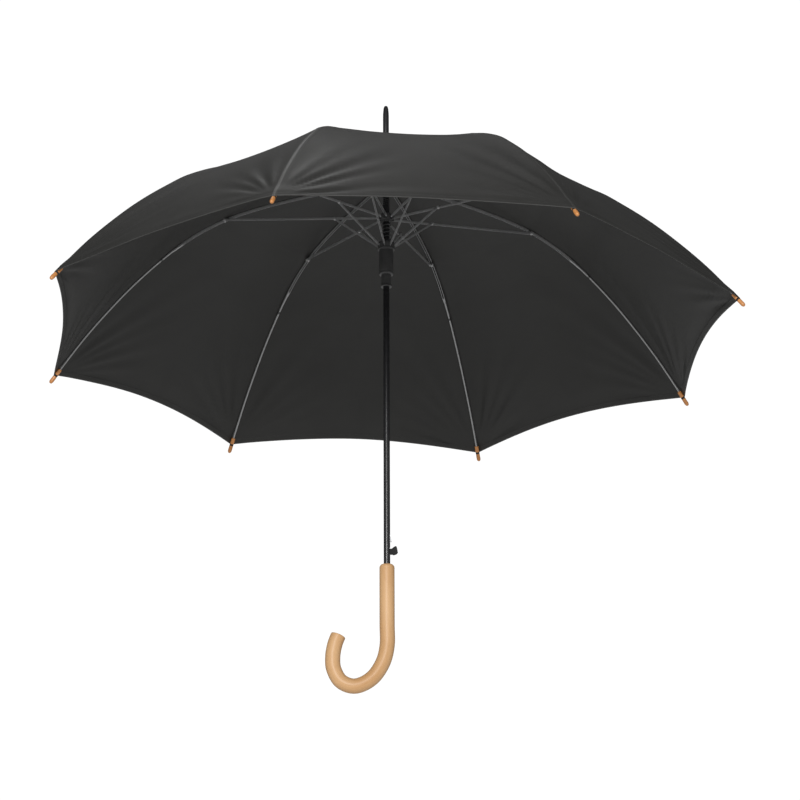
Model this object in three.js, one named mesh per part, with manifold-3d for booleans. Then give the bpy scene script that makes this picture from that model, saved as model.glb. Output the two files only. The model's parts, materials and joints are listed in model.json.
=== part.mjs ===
// A 23 inch automatic stick umbrella, open: steel shaft and ribs, black canopy, wooden crook and rib tips.
// Millimetres. +Z runs up the shaft. The origin is on the shaft's axis, where the hand holds the crook.
import * as THREE from "three";
import { mergeVertices } from "three/addons/utils/BufferGeometryUtils.js";
import Module from "manifold-3d";

const wasm = await Module();
wasm.setup();

// ---- Driving dimensions ----
const RIB_COUNT = 8;
const RIB_STEP = (2 * Math.PI) / RIB_COUNT;
const FIRST_RIB_DEGREES = -16.35; // the first rib's azimuth; the crook curls towards -X

const SHAFT_RADIUS = 4.5;
const SHAFT_BORE = 3.7;
const SHAFT_BOTTOM = 20;
const SHAFT_TOP = 660;
const RUNNING_BORE = 4.75; // what slides on the shaft
const FIXED_BORE = 4.8; // what is pinned or glued to the shaft
const GAP = 0.3; // left between pieces that touch

const HINGE_RADIUS = 10; // rib, stretcher and link pivots all sit this far from the axis
const CROWN_Z = 643;
const UPPER_RUNNER_Z = 588;
const LOWER_RUNNER_Z = 542.5;
const STRETCHER_LENGTH = 238; // crown to rib joint is as long, which keeps the runner on the shaft
const LINK_JOINT_ALONG = 67.6; // from the upper runner, along the stretcher

// Rib centreline, from the crown hinge to the hem: distance from the shaft, and height.
const RIB_JOINT_Z = (CROWN_Z + UPPER_RUNNER_Z) / 2;
const STRETCHER_TILT = Math.asin((CROWN_Z - UPPER_RUNNER_Z) / 2 / STRETCHER_LENGTH);
const RIB_JOINT_RADIUS = HINGE_RADIUS + STRETCHER_LENGTH * Math.cos(STRETCHER_TILT);
const FLEX_POINT = [325, 577.3]; // where the fluted rib ends and the thin rod starts
const HEM_RADIUS = 505;
const HEM_Z = 400;
const INNER_RIB = [[HINGE_RADIUS, CROWN_Z], [60, 641.5], [110, 638], [160, 632.5], [205, 625.5],
  [RIB_JOINT_RADIUS, RIB_JOINT_Z], [290, 598], FLEX_POINT];
const OUTER_RIB = [FLEX_POINT, [360, 551.8], [395, 522.2], [430, 488], [460, 455.8], [485, 425.5],
  [HEM_RADIUS, HEM_Z]];

// Across a rib, in its own frame: x runs out, y sideways. Rib, stretcher and link lie side by side.
const RIB_SIDES = [-1.6, 1.6];
const STRETCHER_SIDES = [1.9, 4.1];
const LINK_SIDES = [-0.3, 1.6];
const RIB_HALF_HEIGHT = 1.7;
const ROD_RADIUS = 1.4;
const FLEX_GAP = 0.6;
const EYE_RADIUS = 1.9;
const WIRE_RADIUS = 0.55;
const PIN_RADIUS = 0.8;
const PIN_HOLE = 1.15;
const WIRE_HOLE = WIRE_RADIUS + 0.5;
const BAR_HALF_HEIGHT = 1.5; // of a stretcher or a link

const TIP_RADIUS = 3;
const TIP_LENGTH = 25;
const TIP_BEYOND_HEM = 13;

const FABRIC_LIFT = 3.6; // above the rib's centreline
const FABRIC_THICKNESS = 0.8;
const FABRIC_SAG = 6;
const HEM_ARC = 19; // how far the hem curves in between two tips
const SEAM_GAP = 0.2;

const HANDLE_RADIUS = 10.4;
const HANDLE_TOP = 64.6;
const CROOK = [[0, 10], [0, -22], [0, -50], [-6, -75], [-21, -97], [-43, -107.8], [-62.5, -101.5],
  [-72.8, -84], [-74.3, -66], [-71.5, -49], [-66.7, -36]];

const FERRULE_TOP = 766.4;
const PLUG_RADIUS = SHAFT_BORE - GAP;
const PLUG_LENGTH = 20;

// ---- Materials ----
function paint(color, roughness, metalness) {
  return new THREE.MeshStandardMaterial({ color, roughness, metalness });
}

const BLACK_STEEL = paint(0x17171a, 0.3, 0.6);
const GREY_STEEL = paint(0x55565a, 0.35, 0.8);
const BLACK_PLASTIC = paint(0x141416, 0.5, 0);
const PALE_WOOD = paint(0xd9ae78, 0.4, 0);
const TIP_WOOD = paint(0xc98a4b, 0.45, 0);
const CLOTH = paint(0x2a2a2a, 0.8, 0);

// ---- Solids ----
function toSolid(geometry) {
  const bare = geometry.clone();
  bare.deleteAttribute("normal");
  bare.deleteAttribute("uv");
  const merged = mergeVertices(bare, 1e-4);
  const vertProperties = new Float32Array(merged.attributes.position.array);
  const triVerts = new Uint32Array(merged.index.array);
  return new wasm.Manifold(new wasm.Mesh({ numProp: 3, vertProperties, triVerts }));
}

function toGeometry(solid) {
  const mesh = solid.getMesh();
  const geometry = new THREE.BufferGeometry();
  geometry.setAttribute("position", new THREE.BufferAttribute(new Float32Array(mesh.vertProperties), 3));
  geometry.setIndex(new THREE.BufferAttribute(new Uint32Array(mesh.triVerts), 1));
  geometry.computeVertexNormals();
  return geometry;
}

function joined(...geometries) {
  return geometries.map(toSolid).reduce((all, next) => all.add(next));
}

function cutBy(solid, ...geometries) {
  return geometries.map(toSolid).reduce((left, next) => left.subtract(next), solid);
}

// A flat outline in the x-z plane, given thickness sideways from sides[0] to sides[1].
function plate(outline, sides) {
  const shape = new THREE.Shape(outline.map(([x, z]) => new THREE.Vector2(x, z)));
  const geometry = new THREE.ExtrudeGeometry(shape, { depth: sides[1] - sides[0], bevelEnabled: false });
  return geometry.rotateX(Math.PI / 2).translate(0, sides[1], 0);
}

// A bar of even height along a line of points.
function bar(points, halfHeight, sides) {
  const side = (sign) => points.map(([x, z], i) => {
    const [ax, az] = points[Math.max(i - 1, 0)];
    const [bx, bz] = points[Math.min(i + 1, points.length - 1)];
    const length = Math.hypot(bx - ax, bz - az);
    return [x - (sign * halfHeight * (bz - az)) / length, z + (sign * halfHeight * (bx - ax)) / length];
  });
  return plate([...side(-1), ...side(1).reverse()], sides);
}

// A round peg or hole whose axis runs sideways.
function peg([x, z], radius, sides) {
  const geometry = new THREE.CylinderGeometry(radius, radius, sides[1] - sides[0], 8);
  return geometry.translate(x, (sides[0] + sides[1]) / 2, z);
}

// A body of revolution about the shaft, from points of radius and height.
function turned(profile, segments = 20) {
  const points = profile.map(([radius, z]) => new THREE.Vector2(radius, z));
  return new THREE.LatheGeometry(points, segments).rotateX(Math.PI / 2);
}

function sleeve(inner, outer, bottom, top, segments = 24) {
  return turned([[inner, bottom], [outer, bottom], [outer, top], [inner, top], [inner, bottom]], segments);
}

function block([x0, x1], [y0, y1], [z0, z1]) {
  const geometry = new THREE.BoxGeometry(x1 - x0, y1 - y0, z1 - z0);
  return geometry.translate((x0 + x1) / 2, (y0 + y1) / 2, (z0 + z1) / 2);
}

function roundSection(radius, sides) {
  const corners = [];
  for (let i = 0; i < sides; i += 1) {
    const angle = (2 * Math.PI * i) / sides;
    corners.push(new THREE.Vector2(radius * Math.cos(angle), radius * Math.sin(angle)));
  }
  return new THREE.Shape(corners);
}

class Helix extends THREE.Curve {
  constructor(radius, bottom, top, turns) {
    super();
    Object.assign(this, { radius, bottom, top, turns });
  }

  getPoint(t, target = new THREE.Vector3()) {
    const angle = 2 * Math.PI * this.turns * t;
    const z = this.bottom + (this.top - this.bottom) * t;
    return target.set(this.radius * Math.cos(angle), this.radius * Math.sin(angle), z);
  }
}

function coil(radius, wire, bottom, top, turns) {
  const extrudePath = new Helix(radius, bottom + wire, top - wire, turns);
  return new THREE.ExtrudeGeometry(roundSection(wire, 4), { steps: Math.round(turns * 9), extrudePath });
}

// ---- The scene graph ----
const group = new THREE.Group();

function add(name, geometry, material, parent = group) {
  const mesh = new THREE.Mesh(geometry, material);
  mesh.name = name;
  parent.add(mesh);
  return mesh;
}

// A notched disc: a slot for each rib, and a wire ring across the slots that the bars hang on.
function notchedDisc(body, slotSides, slotHeights, slotFrom, ring) {
  const slots = [];
  for (let i = 0; i < RIB_COUNT; i += 1) {
    const slot = block([slotFrom, HINGE_RADIUS + 6], slotSides, slotHeights);
    slots.push(slot.rotateZ(THREE.MathUtils.degToRad(FIRST_RIB_DEGREES) + i * RIB_STEP));
  }
  const wire = new THREE.TorusGeometry(ring.radius, WIRE_RADIUS, 5, 32).translate(0, 0, ring.z);
  return toGeometry(cutBy(toSolid(body), ...slots).add(toSolid(wire)));
}

// The ring's radius that meets a bar whose middle is off to one side.
const ringRadius = (sides) => Math.hypot(HINGE_RADIUS, (sides[0] + sides[1]) / 2);
const widened = (sides) => [sides[0] - GAP, sides[1] + GAP];

// ---- Shaft, ferrule and handle ----
const BUTTON_SLOT = block([0, 8], [-2.5, 2.5], [78.4, 89.6]);
const CATCH_SLOT = block([0, 8], [-1.5, 1.5], [96.8, 108.5]);
const tube = toSolid(sleeve(SHAFT_BORE, SHAFT_RADIUS, SHAFT_BOTTOM, SHAFT_TOP));
add("shaft", toGeometry(cutBy(tube, BUTTON_SLOT, CATCH_SLOT)), BLACK_STEEL);

add("ferrule", turned([[0, SHAFT_TOP - PLUG_LENGTH], [PLUG_RADIUS, SHAFT_TOP - PLUG_LENGTH],
  [PLUG_RADIUS, SHAFT_TOP + GAP], [4.3, SHAFT_TOP + GAP], [4.3, FERRULE_TOP - 15], [3.6, FERRULE_TOP - 5],
  [2.6, FERRULE_TOP - 1.2], [1.5, FERRULE_TOP], [0, FERRULE_TOP]], 16), BLACK_PLASTIC);

add("canopy_cap", turned([[4.9, 648.2], [13, 648.2], [13.4, 649.4], [12, 651.4], [7.5, 654], [6, 656.5],
  [4.9, 656.5], [4.9, 648.2]]), BLACK_PLASTIC);

const crookPath = new THREE.CatmullRomCurve3(CROOK.map(([x, z]) => new THREE.Vector3(x, 0, z)));
const crookSection = roundSection(HANDLE_RADIUS, 18);
const crook = new THREE.ExtrudeGeometry(crookSection, { steps: 26, extrudePath: crookPath });
const grip = turned([[0, 9.9], [HANDLE_RADIUS, 9.9], [HANDLE_RADIUS, HANDLE_TOP - 3.5],
  [9.6, HANDLE_TOP - 1.3], [7.8, HANDLE_TOP], [0, HANDLE_TOP]], 18);
const socketBottom = SHAFT_BOTTOM - GAP;
const socketTop = HANDLE_TOP + 5;
const socket = turned([[0, socketBottom], [FIXED_BORE, socketBottom], [FIXED_BORE, socketTop],
  [0, socketTop]], 24);
add("handle", toGeometry(cutBy(joined(crook, grip), socket)), PALE_WOOD);

// ---- Crown and runners ----
add("crown", notchedDisc(
  turned([[FIXED_BORE, 636], [7, 636], [7, 638.6], [11.6, 638.6], [11.6, 645.2], [FIXED_BORE, 645.2],
    [FIXED_BORE, 636]]),
  widened(RIB_SIDES), [630, 650], 7.7, { radius: HINGE_RADIUS, z: CROWN_Z },
), BLACK_STEEL);

add("upper_runner", notchedDisc(
  turned([[RUNNING_BORE, 582.4], [7.2, 582.4], [7.2, 584], [11.6, 584], [11.6, 591.4], [7.2, 591.4],
    [7.2, 594], [RUNNING_BORE, 594], [RUNNING_BORE, 582.4]]),
  widened([LINK_SIDES[0], STRETCHER_SIDES[1]]), [575, 600], 7.7,
  { radius: ringRadius(STRETCHER_SIDES), z: UPPER_RUNNER_Z },
), BLACK_PLASTIC);

const WINDOW = block([0, 12], [-1.9, 1.9], [486.4, 496.2]);
const lowerRunner = turned([[RUNNING_BORE, 480], [7.5, 480], [7.9, 480.5], [7.9, 481.2], [7.15, 482.6],
  [7.15, 498], [10.35, 499.4], [10.35, 537.1], [12.25, 537.1], [12.25, 548.1], [8.2, 548.1], [8.2, 503],
  [RUNNING_BORE, 503], [RUNNING_BORE, 480]]);
add("lower_runner", notchedDisc(
  toGeometry(cutBy(toSolid(lowerRunner), WINDOW)),
  widened(LINK_SIDES), [540.3, 560], 7.9, { radius: ringRadius(LINK_SIDES), z: LOWER_RUNNER_Z },
), BLACK_PLASTIC);

add("main_spring", coil(6.9, 0.65, 503.4, 582, 12), GREY_STEEL);
add("buffer_spring", coil(5.25, 0.45, 594.4, 635.6, 8), GREY_STEEL);

// ---- Release button and its catch, which press in together ----
add("release_button", plate([[5.6, 86.6], [8.7, 89.6], [11.9, 91.5], [13.5, 90.8], [15.3, 81], [9.3, 78.4],
  [6.4, 80.3]], [-2.2, 2.2]), BLACK_PLASTIC);
add("runner_catch", toGeometry(joined(
  block([0, 1], [-1.2, 1.2], [72, 118]),
  plate([[0.5, 97.9], [6.9, 97.9], [6.6, 99.6], [4.3, 105.8], [0.5, 107]], [-1, 1]),
  block([0.5, 5.3], [-1, 1], [83, 86]),
)), GREY_STEEL);

// ---- The ribs' own shapes, all in one rib's frame ----
// Points evenly spaced on a smooth curve, without the first and last few millimetres of it.
function evenly(points, from, to, count) {
  const curve = new THREE.SplineCurve(points.map(([x, z]) => new THREE.Vector2(x, z)));
  const length = curve.getLength();
  const found = [];
  for (let i = 0; i <= count; i += 1) {
    const along = (from + ((length - from - to) * i) / count) / length;
    found.push(curve.getPointAt(along).toArray());
  }
  return found;
}

const crownJoint = [HINGE_RADIUS, CROWN_Z];
const ribJoint = [RIB_JOINT_RADIUS, RIB_JOINT_Z];
const upperJoint = [HINGE_RADIUS, UPPER_RUNNER_Z];
const lowerJoint = [HINGE_RADIUS, LOWER_RUNNER_Z];
const linkJoint = [HINGE_RADIUS + LINK_JOINT_ALONG * Math.cos(STRETCHER_TILT),
  UPPER_RUNNER_Z + LINK_JOINT_ALONG * Math.sin(STRETCHER_TILT)];

// The fluted rib ends in a short swaged socket, a little taller, that grips the rod.
const ribEnd = evenly(INNER_RIB, 0, FLEX_GAP, 60).slice(-3);
const rib = toGeometry(cutBy(
  joined(
    bar(evenly(INNER_RIB, 0, FLEX_GAP, 10), RIB_HALF_HEIGHT, RIB_SIDES),
    bar(ribEnd, RIB_HALF_HEIGHT + 0.6, RIB_SIDES),
    peg(crownJoint, EYE_RADIUS, RIB_SIDES),
    peg(ribJoint, PIN_RADIUS, [0, STRETCHER_SIDES[1] + 0.5]),
  ),
  peg(crownJoint, WIRE_HOLE, [-5, 5]),
));

const stretcher = toGeometry(cutBy(
  joined(
    bar([upperJoint, ribJoint], BAR_HALF_HEIGHT, STRETCHER_SIDES),
    peg(upperJoint, EYE_RADIUS, STRETCHER_SIDES),
    peg(ribJoint, 2.2, STRETCHER_SIDES),
    peg(linkJoint, PIN_RADIUS, [LINK_SIDES[0] - 0.5, STRETCHER_SIDES[0] + 1]),
  ),
  peg(upperJoint, WIRE_HOLE, [0, 8]),
  peg(ribJoint, PIN_HOLE, [0, 8]),
));

// The link's lower end is a fork, open along the link, so it can leave the wire a little on the way.
const linkLength = Math.hypot(linkJoint[0] - lowerJoint[0], linkJoint[1] - lowerJoint[1]);
// A point so far past the lower joint along the link, and so far to its side.
const pastLower = (past, side) => {
  const out = [(lowerJoint[0] - linkJoint[0]) / linkLength, (lowerJoint[1] - linkJoint[1]) / linkLength];
  return [lowerJoint[0] + out[0] * past - out[1] * side, lowerJoint[1] + out[1] * past + out[0] * side];
};
// A nick in the link's inner edge, where the upper runner's wire lies when the umbrella is closed.
const wireNick = peg(pastLower(-18.5, -1.6), WIRE_RADIUS + 0.4, [-3, 5]);
const link = toGeometry(cutBy(
  joined(
    bar([pastLower(1.2, 0), linkJoint], BAR_HALF_HEIGHT, LINK_SIDES),
    peg(linkJoint, 2.1, LINK_SIDES),
  ),
  peg(linkJoint, PIN_HOLE, [-3, 5]),
  wireNick,
  plate([
    pastLower(0, WIRE_HOLE),
    pastLower(0, -WIRE_HOLE),
    pastLower(4, -WIRE_HOLE),
    pastLower(4, WIRE_HOLE),
  ], [-3, 5]),
  peg(lowerJoint, WIRE_HOLE, [-3, 5]),
));

const rodPath = new THREE.CatmullRomCurve3(
  evenly(OUTER_RIB, FLEX_GAP, 3, 9).map(([x, z]) => new THREE.Vector3(x, 0, z)),
);
const rod = new THREE.ExtrudeGeometry(roundSection(ROD_RADIUS, 6), { steps: 9, extrudePath: rodPath });

// A turned wooden bead with a blind hole for the rod; the bead's axis is +Z until it is placed.
const tipBore = ROD_RADIUS + 0.35;
const tipInner = TIP_BEYOND_HEM - TIP_LENGTH;
const woodenTip = turned([[0, 0.5], [tipBore, 0.5], [tipBore, tipInner], [2.5, tipInner],
  [TIP_RADIUS, tipInner + 1.5], [TIP_RADIUS, TIP_BEYOND_HEM - 4], [2.4, TIP_BEYOND_HEM - 1.2],
  [1.2, TIP_BEYOND_HEM], [0, TIP_BEYOND_HEM]], 12);
const [beforeHem, hem] = evenly(OUTER_RIB, 0, 0, 20).slice(-2);
const tipTurn = Math.atan2(hem[0] - beforeHem[0], hem[1] - beforeHem[1]);

// One gore, from half-way before its rib to half-way after it: a grid bent onto the canopy.
const fabricLine = new THREE.SplineCurve(
  [[5.6, CROWN_Z], ...INNER_RIB, ...OUTER_RIB.slice(1)].map(([x, z]) => new THREE.Vector2(x, z)),
);
const fabricLength = fabricLine.getLength();

function gorePoint(across, along, lift) {
  const between = 1 - (1 - Math.abs(across)) ** 2;
  const share = along * (1 - (HEM_ARC * between) / fabricLength);
  const point = fabricLine.getPointAt(share);
  const tangent = fabricLine.getTangentAt(share);
  const rise = FABRIC_LIFT + lift - FABRIC_SAG * between * Math.sin(Math.PI * Math.min(share, 0.92));
  const radius = (point.x - tangent.y * rise) * (Math.cos(RIB_STEP / 2)
    / Math.cos((RIB_STEP / 2) * (1 - Math.abs(across))));
  const angle = (across * RIB_STEP) / 2;
  return new THREE.Vector3(
    radius * Math.cos(angle) + SEAM_GAP * Math.abs(across) * Math.sin(RIB_STEP / 2),
    radius * Math.sin(angle) - SEAM_GAP * across * Math.cos(RIB_STEP / 2),
    point.y + tangent.x * rise,
  );
}

const gore = new THREE.BoxGeometry(2, 1, 1, 6, 12, 1);
const corner = new THREE.Vector3();
for (let i = 0; i < gore.attributes.position.count; i += 1) {
  corner.fromBufferAttribute(gore.attributes.position, i);
  const placed = gorePoint(corner.x, corner.y + 0.5, (0.5 - corner.z) * FABRIC_THICKNESS);
  gore.attributes.position.setXYZ(i, placed.x, placed.y, placed.z);
}
gore.computeVertexNormals();

for (let i = 0; i < RIB_COUNT; i += 1) {
  const side = new THREE.Group();
  side.rotation.z = THREE.MathUtils.degToRad(FIRST_RIB_DEGREES) + i * RIB_STEP;
  group.add(side);
  const number = i + 1;
  add(`rib_${number}`, rib, GREY_STEEL, side);
  add(`rib_rod_${number}`, rod, BLACK_STEEL, side);
  add(`stretcher_${number}`, stretcher, GREY_STEEL, side);
  add(`link_${number}`, link, GREY_STEEL, side);
  add(`canopy_gore_${number}`, gore, CLOTH, side);
  const tip = add(`wooden_tip_${number}`, woodenTip, TIP_WOOD, side);
  tip.position.set(hem[0], 0, hem[1]);
  tip.rotation.y = tipTurn;
}

export default group;
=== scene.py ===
"""An open automatic stick umbrella: black cloth on steel ribs, a steel shaft, a pale wooden crook.

Shapes are worked out in millimetres, in one rib's own plane (x runs out from the shaft, y sideways, z up),
and are turned to the rib's azimuth and scaled to metres when a piece is made.
"""
import json
import math

import bmesh
import bpy
import numpy as np
from mathutils import Matrix, Vector

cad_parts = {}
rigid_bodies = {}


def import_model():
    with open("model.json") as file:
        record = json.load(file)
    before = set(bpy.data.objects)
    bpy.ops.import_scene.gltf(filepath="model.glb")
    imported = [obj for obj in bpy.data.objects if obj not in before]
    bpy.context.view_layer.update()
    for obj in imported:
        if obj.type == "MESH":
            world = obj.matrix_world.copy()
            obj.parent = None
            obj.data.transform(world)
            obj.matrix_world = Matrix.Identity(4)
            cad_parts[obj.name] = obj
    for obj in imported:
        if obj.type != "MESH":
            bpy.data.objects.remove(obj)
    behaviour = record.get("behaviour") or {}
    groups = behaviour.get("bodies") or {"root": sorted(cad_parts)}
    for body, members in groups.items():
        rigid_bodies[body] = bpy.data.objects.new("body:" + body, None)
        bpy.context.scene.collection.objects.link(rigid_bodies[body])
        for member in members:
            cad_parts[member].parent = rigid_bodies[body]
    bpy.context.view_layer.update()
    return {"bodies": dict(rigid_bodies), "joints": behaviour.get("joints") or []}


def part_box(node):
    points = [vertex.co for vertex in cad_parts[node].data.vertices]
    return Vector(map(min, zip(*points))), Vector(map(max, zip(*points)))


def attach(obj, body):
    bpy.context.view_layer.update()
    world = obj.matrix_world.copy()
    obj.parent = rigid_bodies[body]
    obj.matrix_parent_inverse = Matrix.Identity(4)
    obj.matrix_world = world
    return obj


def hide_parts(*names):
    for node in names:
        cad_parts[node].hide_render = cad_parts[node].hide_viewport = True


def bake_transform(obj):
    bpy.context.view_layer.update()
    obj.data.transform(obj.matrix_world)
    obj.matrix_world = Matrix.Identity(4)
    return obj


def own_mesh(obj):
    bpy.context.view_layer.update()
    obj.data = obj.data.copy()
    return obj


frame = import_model()

MM = 0.001
RIBS = range(1, 9)
SECTOR = math.radians(45)

# ---- Camera: its place, what it looks at, its roll and its lens ----
CAMERA_AT = Vector((0.004874, -3.973287, -1.187051))
CAMERA_LOOKS_AT = Vector((0.018883, 0.0, 0.307616))
CAMERA_ROLL = math.radians(-0.234)
CAMERA_LENS = 135.646


def make_camera():
    camera = bpy.data.objects.new("camera", bpy.data.cameras.new("camera"))
    bpy.context.scene.collection.objects.link(camera)
    turned = (CAMERA_LOOKS_AT - CAMERA_AT).to_track_quat("-Z", "Y").to_matrix().to_4x4()
    roll = Matrix.Rotation(CAMERA_ROLL, 4, "Z")
    camera.matrix_world = Matrix.Translation(CAMERA_AT) @ turned @ roll
    camera.data.lens = CAMERA_LENS
    camera.data.sensor_width = 36
    camera.data.clip_end = 100
    bpy.context.scene.camera = camera


make_camera()

# ---- Places, from the frame ----
JOINTS = {joint["name"]: joint for joint in frame["joints"]}


def joint_point(name):
    """A joint's distance from the shaft and height, in millimetres."""
    x, y, z = JOINTS[name]["pos_m"]
    return math.hypot(x, y) / MM, z / MM


def azimuth(k):
    x, y, _ = JOINTS[f"rib_{k}_fold"]["pos_m"]
    return math.atan2(y, x)


def heights(node):
    low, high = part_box(node)
    return low.z / MM, high.z / MM


CROWN_JOINT = joint_point("rib_1_fold")
RIB_JOINT = joint_point("stretcher_1_pivot")
LINK_JOINT = joint_point("link_1_pivot")
UPPER_JOINT = joint_point("upper_runner_travel")
LOWER_JOINT = (CROWN_JOINT[0], heights("lower_runner")[1] - 5.6)
FLEX = joint_point("rod_1_flex")
HEM = (505.0, 400.0)
RIB_LINE = [CROWN_JOINT, (60, 641.5), (110, 638), (160, 632.5), (205, 625.5), RIB_JOINT, (290, 598), FLEX,
            (360, 551.8), (395, 522.2), (430, 488), (460, 455.8), (485, 425.5), HEM]
HANDLE_TOP = heights("handle")[1]
CROOK = [(0, 10), (0, -22), (0, -50), (-6, -75), (-21, -97), (-43, -107.8), (-62.5, -101.5), (-72.8, -84),
         (-74.3, -66), (-71.5, -49), (-66.7, -36)]
HANDLE_RADIUS = 10.4
SHAFT_RADIUS = 4.5
SHAFT_BORE = 3.7
RUNNING_BORE = 4.75  # of what slides on the shaft
FIXED_BORE = 4.8  # of what is pinned or glued to the shaft
CAP_BORE = 4.9
PIVOT_WIRE = 0.55  # radius of the wire rings that the bars hang on


# ---- Lines ----
def smooth_line(points, count):
    """Points evenly spaced on a Catmull-Rom curve through the given ones, and its unit tangents."""
    points = np.array(points, float)
    padded = np.vstack([points[0], points, points[-1]])
    dense = []
    for i in range(len(points) - 1):
        a, b, c, d = padded[i:i + 4]
        t = np.linspace(0, 1, 60, endpoint=False)[:, None]
        slope_b, slope_c = (c - a) / 2, (d - b) / 2
        dense.append((2 * b - 2 * c + slope_b + slope_c) * t ** 3
                     + (-3 * b + 3 * c - 2 * slope_b - slope_c) * t ** 2 + slope_b * t + b)
    dense = np.vstack([*dense, points[-1:]])
    run = np.concatenate([[0], np.cumsum(np.linalg.norm(np.diff(dense, axis=0), axis=1))])
    wanted = np.linspace(0, run[-1], count)
    line = np.stack([np.interp(wanted, run, dense[:, i]) for i in range(points.shape[1])], axis=1)
    tangents = np.gradient(line, axis=0)
    tangents /= np.linalg.norm(tangents, axis=1)[:, None]
    return line, tangents, run[-1]


def smoothstep(x, low, high):
    t = np.clip((x - low) / (high - low), 0, 1)
    return t * t * (3 - 2 * t)


def bump(x, middle, width):
    return np.exp(-((x - middle) / width) ** 2)


# ---- Shells: lists of corners and faces, joined into one mesh per piece ----
CHANNEL_CORNERS = 14
# the corners deep inside a channel get painted shade: a dark tone that stands in for the channel's shadow
CHANNEL_SHADE_CORNERS = range(9, 13)  # which of a channel's corners are deep inside it
RIVET_SIDES = 14
COIL_STEPS = 36  # for each turn of a spring
COIL_SIDES = 10
FLAT_TURNS = 0.75  # at each end of a spring


class Shells:
    def __init__(self):
        self.corners, self.faces, self.grain, self.painted_shade = [], [], [], []

    def add(self, corners, faces, grain=None, painted_shade=None):
        first = len(self.corners)
        self.corners += [tuple(map(float, c)) for c in corners]
        self.faces += [[first + i for i in face] for face in faces]
        self.grain += [tuple(map(float, g)) for g in (corners if grain is None else grain)]
        self.painted_shade += [0.0] * len(corners) if painted_shade is None else painted_shade
        return self

    def piece(self, name, material, slot, turn=0.0, sharp=35):
        """Makes the Blender object: turned to its azimuth, in metres, smooth except over sharp edges."""
        mesh = bpy.data.meshes.new(name)
        mesh.from_pydata([tuple(c * MM for c in corner) for corner in self.corners], [], self.faces)
        mesh.transform(Matrix.Rotation(turn, 4, "Z"))
        grain = mesh.attributes.new("grain", "FLOAT_VECTOR", "POINT")
        grain.data.foreach_set("vector", (np.array(self.grain, np.float32) * MM).ravel())
        # how much painted shade each corner takes: 1 deep inside a channel, 0 elsewhere
        painted_shade = mesh.attributes.new("painted_shade", "FLOAT", "POINT")
        painted_shade.data.foreach_set("value", np.array(self.painted_shade, np.float32))
        work = bmesh.new()
        work.from_mesh(mesh)
        bmesh.ops.recalc_face_normals(work, faces=work.faces)
        work.to_mesh(mesh)
        work.free()
        mesh.shade_smooth()
        mesh.set_sharp_from_angle(angle=math.radians(sharp))
        mesh.materials.append(material)
        made = bpy.data.objects.new(name, mesh)
        bpy.context.scene.collection.objects.link(made)
        return made


def rings(shells, loops, grain=None, painted_shade=None):
    """Skins a row of loops that have the same number of corners, and closes both ends."""
    size = len(loops[0])
    corners = [c for loop in loops for c in loop]
    faces = []
    for i in range(len(loops) - 1):
        for j in range(size):
            a, b = i * size + j, i * size + (j + 1) % size
            faces.append([a, b, b + size, a + size])
    faces.append(list(range(size))[::-1])
    faces.append([(len(loops) - 1) * size + j for j in range(size)])
    return shells.add(corners, faces, grain, painted_shade)


def lathe(shells, profile, segments=48):
    """Turns a closed profile of (radius, height) about the upright axis."""
    size = len(profile)
    corners = [(r * a, r * b, z) for a, b in circle(1, segments) for r, z in profile]
    faces = []
    for i in range(segments):
        for j in range(size):
            a, b = i * size + j, i * size + (j + 1) % size
            c, d = (i + 1) % segments * size + (j + 1) % size, (i + 1) % segments * size + j
            faces.append([a, b, c, d])
    return shells.add(corners, faces)


def solid_lathe(shells, profile, segments=48):
    """Turns a profile that starts and ends on the axis, with no corners doubled there."""
    inner = profile[1:-1]
    first = len(inner) * segments
    corners = [(r * a, r * b, z) for r, z in inner for a, b in circle(1, segments)]
    corners += [(0, 0, profile[0][1]), (0, 0, profile[-1][1])]
    faces = []
    for i in range(len(inner) - 1):
        for j in range(segments):
            a, b = i * segments + j, i * segments + (j + 1) % segments
            faces.append([a, b, b + segments, a + segments])
    last = (len(inner) - 1) * segments
    for j in range(segments):
        faces.append([first, (j + 1) % segments, j])
        faces.append([first + 1, last + j, last + (j + 1) % segments])
    return shells.add(corners, faces)


def rounded(profile, radius=0.4, steps=2):
    """Rounds every corner of a closed profile."""
    made = []
    count = len(profile)
    for i, here in enumerate(profile):
        here = np.array(here, float)
        before, after = np.array(profile[i - 1], float), np.array(profile[(i + 1) % count], float)
        to_before, to_after = before - here, after - here
        cut = min(radius, np.linalg.norm(to_before) * 0.45, np.linalg.norm(to_after) * 0.45)
        a = here + to_before / np.linalg.norm(to_before) * cut
        b = here + to_after / np.linalg.norm(to_after) * cut
        for t in np.linspace(0, 1, steps + 1):
            made.append(tuple((1 - t) ** 2 * a + 2 * t * (1 - t) * here + t ** 2 * b))
    return made


def plate(shells, outline, y0, y1, edge=0.25):
    """A flat outline in the rib's plane, given thickness sideways, with softened edges."""
    outline = np.array(outline, float)
    centre = outline.mean(0)
    reach = np.linalg.norm(outline - centre, axis=1).max()
    inner = centre + (outline - centre) * (1 - edge / reach)
    loops = [[(x, y, z) for x, z in shape] for y, shape in
             ((y0, inner), (y0 + edge, outline), (y1 - edge, outline), (y1, inner))]
    return rings(shells, loops)


def disc(shells, at, radius, y0, y1, sides=20, edge=0.25):
    return plate(shells, [(at[0] + a, at[1] + b) for a, b in circle(radius, sides)], y0, y1, edge)


def rivet(shells, at, y, side, radius=1.25):
    """A low domed rivet head on a bar's face; side is the way it stands out."""
    profile = [(radius, 0.0), (radius, 0.18), (radius * 0.75, 0.5), (radius * 0.35, 0.62)]
    return rings(shells, [[(at[0] + a, y + side * rise, at[1] + b) for a, b in circle(r, RIVET_SIDES)]
                          for r, rise in profile])


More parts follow.
